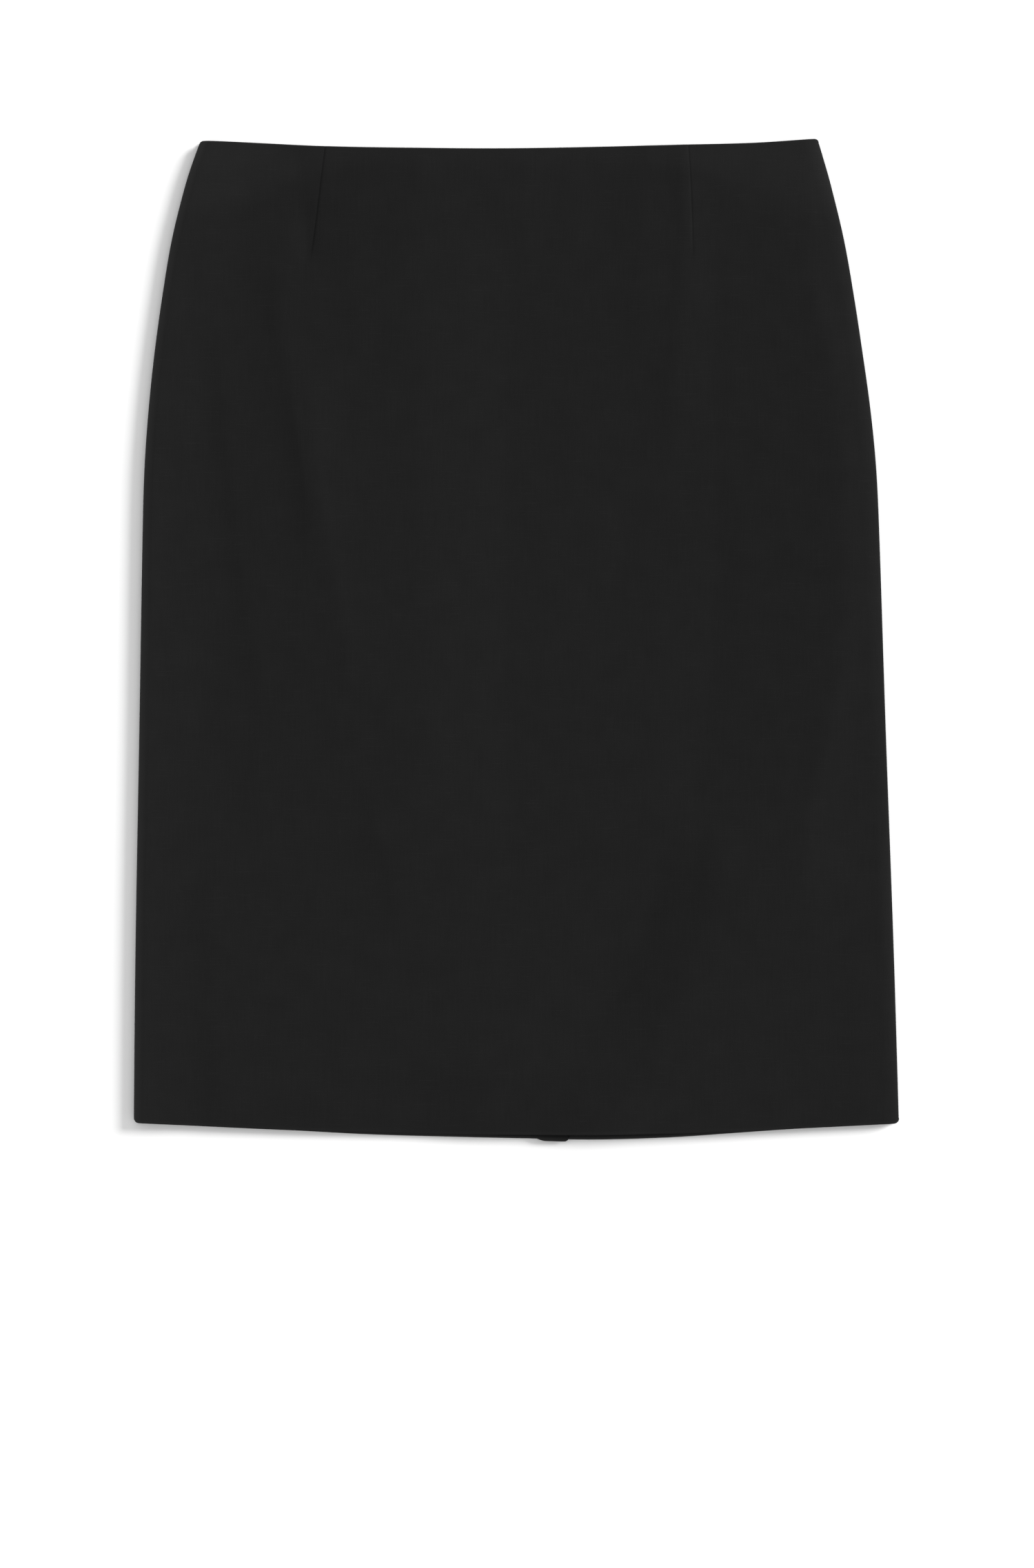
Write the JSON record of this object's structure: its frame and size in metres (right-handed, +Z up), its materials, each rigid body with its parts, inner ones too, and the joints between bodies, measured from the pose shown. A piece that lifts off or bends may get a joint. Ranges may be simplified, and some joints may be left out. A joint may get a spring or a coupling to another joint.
{
  "type": "pencil skirt",
  "caption": "Knee-length pencil skirt in plain black cloth, laid flat on its back, with waist darts, a concealed zip and a vent in the back.",
  "frame": {"origin": "middle of the laid skirt's box, on the surface that it lies on", "axes": "+X to the wearer's left, +Y from the hem up to the waist, +Z up off the surface"},
  "size_m": [0.4875, 0.6392, 0.0084],
  "materials": {
    "cloth": "matt black crepe",
    "zip_tape": "black woven tape",
    "zip_metal": "black enamel"
  },
  "bodies": {
    "skirt": {"front": "cloth", "back_left": "cloth", "back_right": "cloth", "vent_underlap": "cloth", "zip_tape": "zip_tape", "zip_slider": "zip_metal"},
    "pull": {"zip_pull": "zip_metal"}
  },
  "joints": [
    {"name": "pull_swing", "type": "hinge", "parent": "skirt", "child": "pull", "pos_m": [-0.00509, 0.2944, 0.00145], "axis": [1, 0, 0], "range_deg": [0, 150]}
  ]
}
